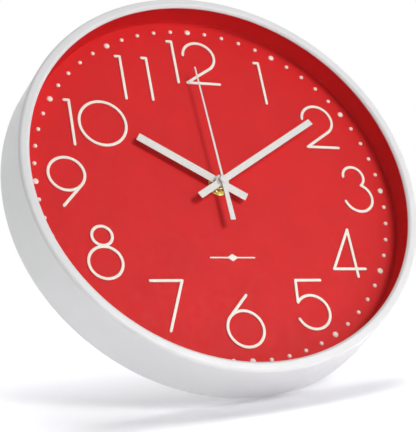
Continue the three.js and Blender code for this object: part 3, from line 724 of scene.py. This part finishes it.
def nine():
    radius = 12.7
    tip = (-4.7, -24.4)
    return combined("UNION", bowl(0, 0, radius, radius), raised(tip, tangent_point(tip, radius)))


def zero():
    return bowl(0, 0, 17, 17.7)


def seated(mesh, node):
    """A bmesh shifted, in the front view, onto the middle of the CAD node it stands for."""
    across = [vertex.co.x for vertex in mesh.verts]
    up = [vertex.co.z for vertex in mesh.verts]
    x, z = middle(node)
    shift = (x - (min(across) + max(across)) / 2, 0, z - (min(up) + max(up)) / 2)
    return moved(mesh, Matrix.Translation(shift))


DIGITS = {
    "numeral_1": one,
    "numeral_2": two,
    "numeral_3": three,
    "numeral_4": four,
    "numeral_5": five,
    "numeral_6": six,
    "numeral_7": seven,
    "numeral_8": eight,
    "numeral_9": nine,
    "numeral_10_one": one,
    "numeral_10_zero": zero,
    "numeral_11_first": one,
    "numeral_11_second": one,
    "numeral_12_one": one,
    "numeral_12_two": two,
}
for node, digit in DIGITS.items():
    piece(node.replace("numeral", "digit"), seated(digit(), node), "numeral_cream", "case", [node])


def dial_mark():
    """The plain ornament below the hub: a thin bar through a lozenge."""
    x0, x1, z0, z1 = span("dial_ornament")
    x, z = middle("dial_ornament")
    bar = stroke([(x0 + 0.5, z), (x1 - 0.5, z)], 1, NUMERAL_REAR, NUMERAL_FRONT, 0.25)
    lozenge = prism(
        rounded([(x + 4.2, z, 0.3), (x, z1, 0.3), (x - 4.2, z, 0.3), (x, z0, 0.3)], 3),
        NUMERAL_REAR, NUMERAL_FRONT, 0.25,
    )
    return combined("UNION", bar, lozenge)


def dots(numbers, radius, height, dimple):
    """Raised domes round the dial at some of the 60 minutes, dimpled in the middle or not."""
    top = DIAL_FRONT - height
    crown = [(radius * math.cos(a), DIAL_FRONT - height * math.sin(a)) for a in (0.0, 0.4, 0.8, 1.15)]
    centre = [(radius * 0.3, top), (radius * 0.16, top + 0.25), (0, top + 0.3)] if dimple else [(0, top)]
    profile = [(0, DIAL_FRONT), *crown, *centre]
    domes = []
    for number in numbers:
        angle = math.radians(6 * number)
        x, z = DOT_CIRCLE * math.sin(angle), DOT_CIRCLE * math.cos(angle)
        domes.append(turned(profile, TINY_STEPS, x, z))
    return merged(*domes)


piece("dial_mark", dial_mark(), "numeral_cream", "case", ["dial_ornament"])
hours = range(0, 60, 5)
minutes = [minute for minute in range(60) if minute not in hours]
piece("minute_dots", dots(minutes, **MINUTE_DOT, dimple=False), "numeral_cream", "case")
piece("hour_dots", dots(hours, **HOUR_DOT, dimple=True), "numeral_cream", "case")

# ---------------------------------------------------------------- hands

# Reach from the arbor, widths and hub radius in millimetres, and where each points at rest, in
# degrees clockwise from 12.
HOUR = {"tip": 66, "tail": 21, "width": 6.1, "hub": 4.4, "points": 302.2}
MINUTE = {"tip": 97, "tail": 22.5, "width": 5, "hub": 4.9, "points": 57.1}
SECOND = {
    "tip": 93.7, "tail": 31.7, "tip_width": 1.15, "root_width": 1.7, "tail_width": 3.8, "points": -2.75,
}
BLADE = 0.5


def pointed(mesh, degrees):
    """A hand drawn at 12 turned clockwise, as the reader sees it, to where it points."""
    return moved(mesh, Matrix.Rotation(math.radians(degrees), 4, "Y"))


def baton(front_y, sizes):
    """A straight blade with crisp corners and softly rounded edges, and a round hub."""
    half = sizes["width"] / 2
    blade = prism(rectangle(-half, -sizes["tail"], half, sizes["tip"], 0.15), front_y + BLADE, front_y, 0.12)
    hub = prism(circle(sizes["hub"]), front_y + BLADE, front_y, 0.12)
    return blade, hub


def hour_hand():
    return pointed(combined("UNION", *baton(front("hour_hand"), HOUR)), HOUR["points"])


def hour_collet():
    """The collet that presses the hour hand on its tube."""
    low = front("hour_hand") + BLADE
    high = rear("hour_hand")
    return turned(rounded([(2.6, low, 0), (3.7, low, 0), (3.7, high, 0.25), (2.6, high, 0.1)]))


def minute_hand():
    """The minute hand, with a raised boss on its hub."""
    front_y = front("minute_hand")
    boss_front, boss_rear = front_y - 0.75, front_y + 0.3
    boss = turned(rounded([
        (1.9, boss_rear, 0), (4.2, boss_rear, 0), (4.2, boss_front, 0.35), (1.9, boss_front, 0.2),
    ]))
    return pointed(combined("UNION", *baton(front_y, MINUTE), boss), MINUTE["points"])


def minute_collet():
    """The bright collet that presses the minute hand on its tube."""
    low = front("minute_hand") + BLADE
    high = rear("minute_hand")
    return turned(rounded([(1.7, low, 0), (2.6, low, 0), (2.6, high, 0.2), (1.7, high, 0.1)]))


def second_hand():
    """A tapering needle, a broader tail and a round cap over the arbor's end."""
    front_y = front("second_hand")
    root, tip, tail = (SECOND[key] / 2 for key in ("root_width", "tip_width", "tail_width"))
    reach, back = SECOND["tip"], -SECOND["tail"]
    needle = prism(
        rounded([(-root, -1, 0), (root, -1, 0), (tip, reach, 0.2), (-tip, reach, 0.2)], 2),
        front_y + BLADE, front_y, 0.1,
    )
    weight = prism(
        rounded([(-tail, back, 0.15), (tail, back, 0.15), (tail * 0.8, 0, 0), (-tail * 0.8, 0, 0)], 2),
        front_y + BLADE, front_y, 0.1,
    )
    cap_front = front_y - 1.1
    cap = turned([
        (0, front_y + BLADE), (2.8, front_y + BLADE), (2.95, front_y + 0.25), (2.9, cap_front + 0.5),
        (2.65, cap_front + 0.18), (2.1, cap_front + 0.03), (0, cap_front),
    ])
    return pointed(combined("UNION", needle, weight, cap), SECOND["points"])


piece("hour_blade", hour_hand(), "hand_white", "hour_hand", ["hour_hand"])
piece("hour_collet", hour_collet(), "hand_white", "hour_hand", ["hour_hand"])
piece("minute_blade", minute_hand(), "hand_white", "minute_hand", ["minute_hand"])
piece("minute_collet", minute_collet(), "contact_steel", "minute_hand", ["minute_hand"])
piece("second_blade", second_hand(), "hand_white", "second_hand", ["second_hand"])

# ---------------------------------------------------------------- hub fixings


def hex_nut():
    """A chamfered hexagon nut: a turned blank cut by a six-sided prism."""
    low, high = front("fixing_nut"), rear("fixing_nut")
    across_corners = (span("fixing_nut")[1] - span("fixing_nut")[0]) / 2
    blank = turned(rounded([
        (4.1, low + 0.1, 0.3), (across_corners, low, 0.7),
        (across_corners, high, 0.4), (4.1, high - 0.1, 0.3),
    ]))
    hexagon = prism(circle(across_corners, 6), high + 1, low - 1, 0.05)
    return combined("INTERSECT", blank, hexagon)


def washer():
    """The brass washer under the nut."""
    low, high = front("fixing_washer"), rear("fixing_washer")
    outer = span("fixing_washer")[1]
    profile = rounded([(4.2, low, 0.15), (outer, low, 0.25), (outer, high, 0.1), (4.2, high, 0.1)])
    return turned(profile, FINE_STEPS)


def bush():
    """The threaded bush: a flanged tube with thread crests along the part that shows."""
    low, high = front("threaded_bush"), rear("threaded_bush")
    bore, root, crest, flange = 2.65, 3.7, 3.95, 5.2
    start, pitch, count = low + 0.35, 0.5, 12
    thread = []
    for i in range(count):
        thread += [(crest, start + i * pitch), (root, start + (i + 0.5) * pitch)]
    profile = [
        (bore, low), (root - 0.1, low), *thread, (crest, start + count * pitch),
        (crest, high - 0.3), (flange, high - 0.3), (flange, high), (bore, high),
    ]
    return turned(profile, PLAIN_STEPS)


def gasket():
    """The rubber gasket between the movement and the dial."""
    low, high = front("rubber_gasket"), rear("rubber_gasket")
    return turned(rounded([(4.4, low, 0.1), (9, low, 0.1), (9, high, 0.1), (4.4, high, 0.1)]), FINE_STEPS)


piece("brass_nut", hex_nut(), "bush_brass", "case", ["fixing_nut"], 25)
piece("brass_washer", washer(), "bush_brass", "case", ["fixing_washer"])
piece("brass_bush", bush(), "bush_brass", "case", ["threaded_bush"], 20)
piece("gasket", gasket(), "gasket_rubber", "case", ["rubber_gasket"])

# ---------------------------------------------------------------- movement, hanger and battery

BOX_X0, BOX_X1, BOX_Z0, BOX_Z1 = span("movement_shell")
BOX_FRONT, BOX_RIM = front("movement_shell"), rear("movement_shell")
BAY_TOP = span("movement_cover")[2] - 0.5
BOX_WALL = 1.0
KNOB_X, KNOB_Z = middle("setting_knob")


def movement_box():
    """The open black box: a front plate, walls round the train and the cell, a notch in the rim below."""
    outline = rectangle(BOX_X0, BOX_Z0, BOX_X1, BOX_Z1, 3)
    room = rectangle(BOX_X0 + BOX_WALL, BAY_TOP + BOX_WALL, BOX_X1 - BOX_WALL, BOX_Z1 - BOX_WALL, 1.5)
    bay = rectangle(BOX_X0 + BOX_WALL, BOX_Z0 + BOX_WALL, BOX_X1 - BOX_WALL, BAY_TOP, 1.5)
    floor_plate = prism(outline, BOX_FRONT + BOX_WALL, BOX_FRONT, 0.3, [circle(4.1)])
    walls = prism(outline, BOX_RIM, BOX_FRONT + 0.5, 0.15, [room, bay])
    notch = block((KNOB_X - 12, BOX_RIM - 3, BOX_Z0 - 1), (KNOB_X + 2, BOX_RIM + 1, BOX_Z0 + 2))
    return combined("DIFFERENCE", combined("UNION", floor_plate, walls), notch)


def movement_cover():
    """The flat cover, with three raised bars, two clips, a collar round the knob and two plain arrows."""
    low, high = front("movement_cover"), rear("movement_cover")
    x0, x1, z0, z1 = span("movement_cover")
    plate = prism(rectangle(x0, z0, x1, z1, 2.6), high, low, 0.3, [circle(1.3, 32, KNOB_X, KNOB_Z)])
    foot, top = high - 0.2, high + 0.5
    pads = []
    for z in (z1 - 4.5, z1 - 8, z1 - 11.5):
        pads.append(prism(rectangle(x0 + 5, z - 0.8, x0 + 24, z + 0.8, 0.7), top, foot, 0.2))
    collar_profile = rounded([(6.9, foot, 0), (7.9, foot, 0), (7.8, top, 0.25), (7.0, top, 0.25)])
    collar = turned(collar_profile, PLAIN_STEPS, KNOB_X, KNOB_Z)
    arrows = []
    for side in (1, -1):
        x = KNOB_X + side * 10.5
        tip = KNOB_Z + side * 3.2
        wing = KNOB_Z + side * 0.6
        arrow = [(x, tip), (x - side * 1.9, wing), (x + side * 1.9, wing)]
        arrows.append(prism(arrow, top, foot, 0.15))
    clips = []
    for x in (x0 + 12, x1 - 12):
        clips.append(block((x - 3, low - 0.1, z1 - 1.2), (x + 3, top, z1), 0.2))
    return combined("UNION", plate, *pads, collar, *arrows, *clips)


def hanger():
    """The bent steel hanger: a strip behind the dial, a shelf over the box and a slotted tab."""
    x0, x1, z0, z1 = span("wall_hanger")
    low, high = front("wall_hanger"), rear("wall_hanger")
    gauge = 0.6
    shelf = 30.4
    strip = prism(rectangle(x0, z0, x1, shelf, 1.2), low + gauge, low, 0.1, [circle(4.3)])
    step = block((x0, low, shelf - gauge), (x1, high, shelf), 0.1)
    slot = rounded([(-4.5, 33, 0.8), (4.5, 33, 0.8), (4.5, 36.2, 0.8), (0, 41, 2.0), (-4.5, 36.2, 0.8)])
    tab = prism(rectangle(x0, shelf - gauge, x1, z1, 1.5), high, high - gauge, 0.12, [slot])
    return combined("UNION", strip, step, tab)


def along_x(mesh, y, z):
    """A piece turned about the arbor laid along x instead, its y becoming x, through (y, z)."""
    return moved(mesh, Matrix.Translation((0, y, z)) @ Matrix.Rotation(-math.pi / 2, 4, "Z"))


CELL_X0, CELL_X1, CELL_Z0, CELL_Z1 = span("battery_cell")
CELL_RADIUS = (CELL_Z1 - CELL_Z0) / 2
CELL_Y = (front("battery_cell") + rear("battery_cell")) / 2
CELL_Z = (CELL_Z0 + CELL_Z1) / 2


def cell_sleeve():
    """The cell's plain sleeve, crimped over both ends."""
    start, end = CELL_X0 + 0.3, CELL_X1 - 1.3
    crimp = CELL_RADIUS - 1.2
    profile = rounded([
        (crimp, start, 0.1), (CELL_RADIUS, start, 0.6), (CELL_RADIUS, end, 0.6), (crimp, end, 0.1),
    ])
    return along_x(turned(profile, PLAIN_STEPS), CELL_Y, CELL_Z)


def cell_can():
    """The steel ends of the cell: a dished negative end and the positive nub."""
    start, end = CELL_X0, CELL_X1
    can = CELL_RADIUS - 1.0
    profile = [
        (0, start + 0.25), (3.2, start + 0.25), (3.8, start), (5.4, start), (can, start + 0.5),
        (can, end - 1.5), (5.2, end - 1.4), (3.6, end - 1.4), (2.7, end - 1.1), (2.7, end - 0.2),
        (2.5, end), (0, end),
    ]
    return along_x(turned(profile, PLAIN_STEPS), CELL_Y, CELL_Z)


piece("movement_box", movement_box(), "movement_black", "case", ["movement_shell"])
piece("movement_lid", movement_cover(), "movement_black", "case", ["movement_cover"])
piece("hanger_strip", hanger(), "hanger_steel", "case", ["wall_hanger"])
piece("cell_sleeve", cell_sleeve(), "battery_wrap", "case", ["battery_cell"])
piece("cell_can", cell_can(), "contact_steel", "case", ["battery_cell"])

# ---------------------------------------------------------------- floor, light and camera

# The clock leans back and a little sideways on the floor in this view, so the floor is tipped
# against the clock's own frame.
LEAN_BACK = math.radians(33)
LEAN_SIDE = math.radians(5)
FLOOR_UP = Vector((
    -math.sin(LEAN_SIDE),
    -math.cos(LEAN_SIDE) * math.sin(LEAN_BACK),
    math.cos(LEAN_SIDE) * math.cos(LEAN_BACK),
))
FLOOR_RADIUS = 0.6
LAMP_DISTANCE = 1.5
# The soft light of the sky: its mean, how it changes along x, y and z, and its tint likewise.
FILL_MEAN = 0.74
FILL_SLOPE = (0.12, 0.68, -0.03)
TINT_MEAN = 0.45
TINT_SLOPE = (0.45, 0, -0.35)
FILL_ON_LEFT = (0.94, 0.985, 0.955)
FILL_ON_RIGHT = (1.05, 0.93, 1.07)


def floor_material():
    """A plain pale floor that fades out towards its edge."""
    material = bpy.data.materials.new("floor")
    material.use_nodes = True
    nodes, links = material.node_tree.nodes, material.node_tree.links
    paint = nodes["Principled BSDF"]
    paint.inputs["Base Color"].default_value = (0.605, 0.6, 0.62, 1)
    paint.inputs["Roughness"].default_value = 0.9
    place = nodes.new("ShaderNodeTexCoord")
    gradient = nodes.new("ShaderNodeTexGradient")
    gradient.gradient_type = "SPHERICAL"
    size = nodes.new("ShaderNodeMapping")
    size.inputs["Scale"].default_value = (1 / FLOOR_RADIUS,) * 3
    links.new(place.outputs["Object"], size.inputs["Vector"])
    links.new(size.outputs["Vector"], gradient.inputs["Vector"])
    fade = nodes.new("ShaderNodeMapRange")
    fade.interpolation_type = "SMOOTHSTEP"
    fade.inputs["From Max"].default_value = 0.7
    links.new(gradient.outputs["Fac"], fade.inputs["Value"])
    links.new(fade.outputs["Result"], paint.inputs["Alpha"])
    return material


def floor():
    """A round floor under the clock's lowest point, which casts no shadow itself."""
    downhill = -Vector((FLOOR_UP.x, 0, FLOOR_UP.z)).normalized()
    centre = ARBOR + downhill * REAR_RADIUS * MM
    data = bpy.data.meshes.new("floor")
    mesh = bmesh.new()
    bmesh.ops.create_circle(mesh, cap_ends=True, segments=96, radius=FLOOR_RADIUS)
    mesh.to_mesh(data)
    mesh.free()
    data.materials.append(floor_material())
    ground = bpy.data.objects.new("floor", data)
    bpy.context.scene.collection.objects.link(ground)
    ground.location = centre
    ground.rotation_mode = "QUATERNION"
    ground.rotation_quaternion = Vector((0, 0, 1)).rotation_difference(FLOOR_UP)
    ground.visible_shadow = False
    return ground


def studio_world():
    """A studio: white to the eye and in reflections, and a soft light that is brightest from
    behind the clock, greenish from the upper left and pinkish from the lower right."""
    world = bpy.data.worlds.new("studio")
    bpy.context.scene.world = world
    world.use_nodes = True
    nodes, links = world.node_tree.nodes, world.node_tree.links
    place = nodes.new("ShaderNodeTexCoord")

    def sloping(mean, slope):
        """A level that changes evenly across the sky, from its mean along a slope."""
        across = nodes.new("ShaderNodeVectorMath")
        across.operation = "DOT_PRODUCT"
        across.inputs[1].default_value = slope
        links.new(place.outputs["Generated"], across.inputs[0])
        level = nodes.new("ShaderNodeMath")
        level.inputs[1].default_value = mean
        links.new(across.outputs["Value"], level.inputs[0])
        return level.outputs["Value"]

    tint = nodes.new("ShaderNodeValToRGB")
    tint.color_ramp.elements[0].color = (*FILL_ON_LEFT, 1)
    tint.color_ramp.elements[1].color = (*FILL_ON_RIGHT, 1)
    links.new(sloping(TINT_MEAN, TINT_SLOPE), tint.inputs["Fac"])
    fill = nodes.new("ShaderNodeBackground")
    links.new(sloping(FILL_MEAN, FILL_SLOPE), fill.inputs["Strength"])
    links.new(tint.outputs["Color"], fill.inputs["Color"])

    seen = nodes["Background"]
    seen.inputs["Color"].default_value = (1, 1, 1, 1)
    path = nodes.new("ShaderNodeLightPath")
    shows = nodes.new("ShaderNodeMath")
    shows.operation = "MAXIMUM"
    links.new(path.outputs["Is Camera Ray"], shows.inputs[0])
    links.new(path.outputs["Is Glossy Ray"], shows.inputs[1])
    choice = nodes.new("ShaderNodeMixShader")
    links.new(shows.outputs["Value"], choice.inputs["Fac"])
    links.new(fill.outputs["Background"], choice.inputs[1])
    links.new(seen.outputs["Background"], choice.inputs[2])
    links.new(choice.outputs["Shader"], nodes["World Output"].inputs["Surface"])


def softbox(name, direction, size, power):
    """A square area light that faces the dial from a direction in the clock's frame."""
    data = bpy.data.lights.new(name, "AREA")
    data.size = size
    data.energy = power
    lamp = bpy.data.objects.new(name, data)
    bpy.context.scene.collection.objects.link(lamp)
    towards = Vector(direction).normalized()
    lamp.location = ARBOR + towards * LAMP_DISTANCE
    lamp.rotation_mode = "QUATERNION"
    lamp.rotation_quaternion = towards.to_track_quat("Z", "Y")
    return lamp


def light_only(lamp, lit):
    """Makes a lamp light only one object, while every object still casts its shadow there."""
    receivers = bpy.data.collections.new(f"{lamp.name}_receivers")
    receivers.objects.link(lit)
    lamp.light_linking.receiver_collection = receivers


def camera():
    """The view from the front, left and below, with the picture's upright leaning as the clock does."""
    azimuth, elevation = math.radians(-26.8), math.radians(-27.2)
    distance = 0.8838
    upright_lean = math.radians(25.8)
    centre = ARBOR + Vector((0, -0.020, 0))
    aim = centre + Vector((-0.0063, 0.0125, -0.0174))
    back = Vector((
        math.sin(azimuth) * math.cos(elevation),
        -math.cos(azimuth) * math.cos(elevation),
        math.sin(elevation),
    ))
    data = bpy.data.cameras.new("camera")
    data.lens = 105.1
    data.sensor_width = 36
    made = bpy.data.objects.new("camera", data)
    bpy.context.scene.collection.objects.link(made)
    made.location = centre + back * distance
    ahead = (aim - made.location).normalized()
    upright = Vector((0, -math.sin(upright_lean), math.cos(upright_lean)))
    right = ahead.cross(upright).normalized()
    made.rotation_mode = "QUATERNION"
    made.rotation_quaternion = Matrix((right, right.cross(ahead), -ahead)).transposed().to_quaternion()
    bpy.context.scene.camera = made


studio_world()
softbox("key_light", direction=(0.29, -1, 0.07), size=0.45, power=11.0)
front_lamp = softbox("front_light", direction=(0.45, -1, -0.17), size=1.5, power=6.3)
front_lamp.visible_glossy = False
floor_lamp = softbox("floor_light", direction=(0.07, -0.14, FLOOR_UP.z), size=1.2, power=40.0)
light_only(floor_lamp, floor())
camera()
bpy.context.scene.view_settings.view_transform = "Standard"
